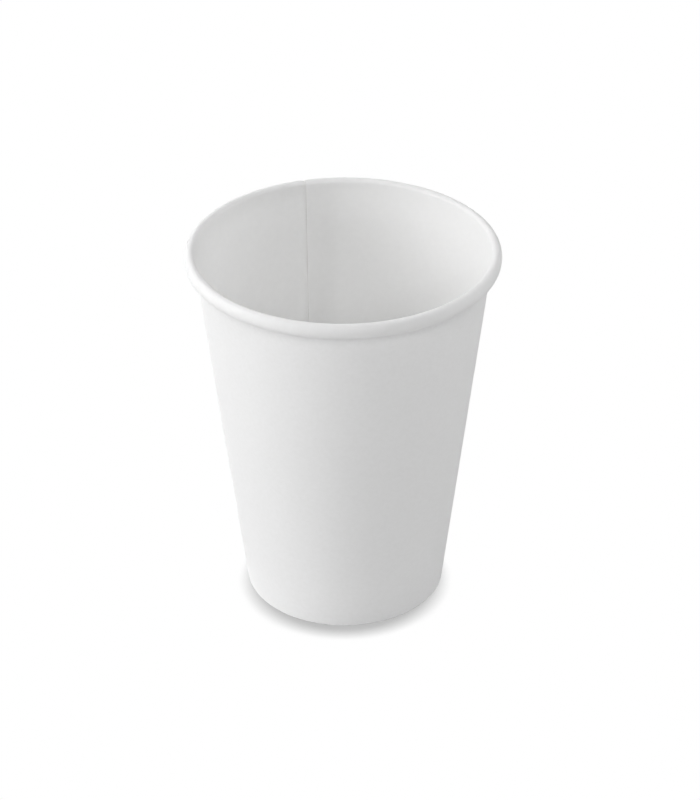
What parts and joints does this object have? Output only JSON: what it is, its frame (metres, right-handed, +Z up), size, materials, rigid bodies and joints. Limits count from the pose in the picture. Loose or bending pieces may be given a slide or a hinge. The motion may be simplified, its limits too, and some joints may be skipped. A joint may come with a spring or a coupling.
{
  "type": "paper coffee cup",
  "caption": "Paper cup for hot drinks: a lined white board cone with a rolled rim and an overlapped side seam, its foot hemmed up round the skirt of a recessed bottom.",
  "frame": {"origin": "centre of the foot, on the table", "axes": "+Z up the cup's axis from foot to rim; -Y towards the viewer in the picture's view; the side seam is on the far side, 16 degrees round from +Y towards -X"},
  "size_m": [0.09, 0.09, 0.111],
  "materials": {
    "side_wall_board": "smooth white cup board, matt outside, with a satin lining inside",
    "bottom_board": "smooth white cup board, satin lining on the upper side, matt below"
  },
  "bodies": {
    "root": {"side_wall": "side_wall_board", "bottom": "bottom_board"}
  },
  "joints": []
}
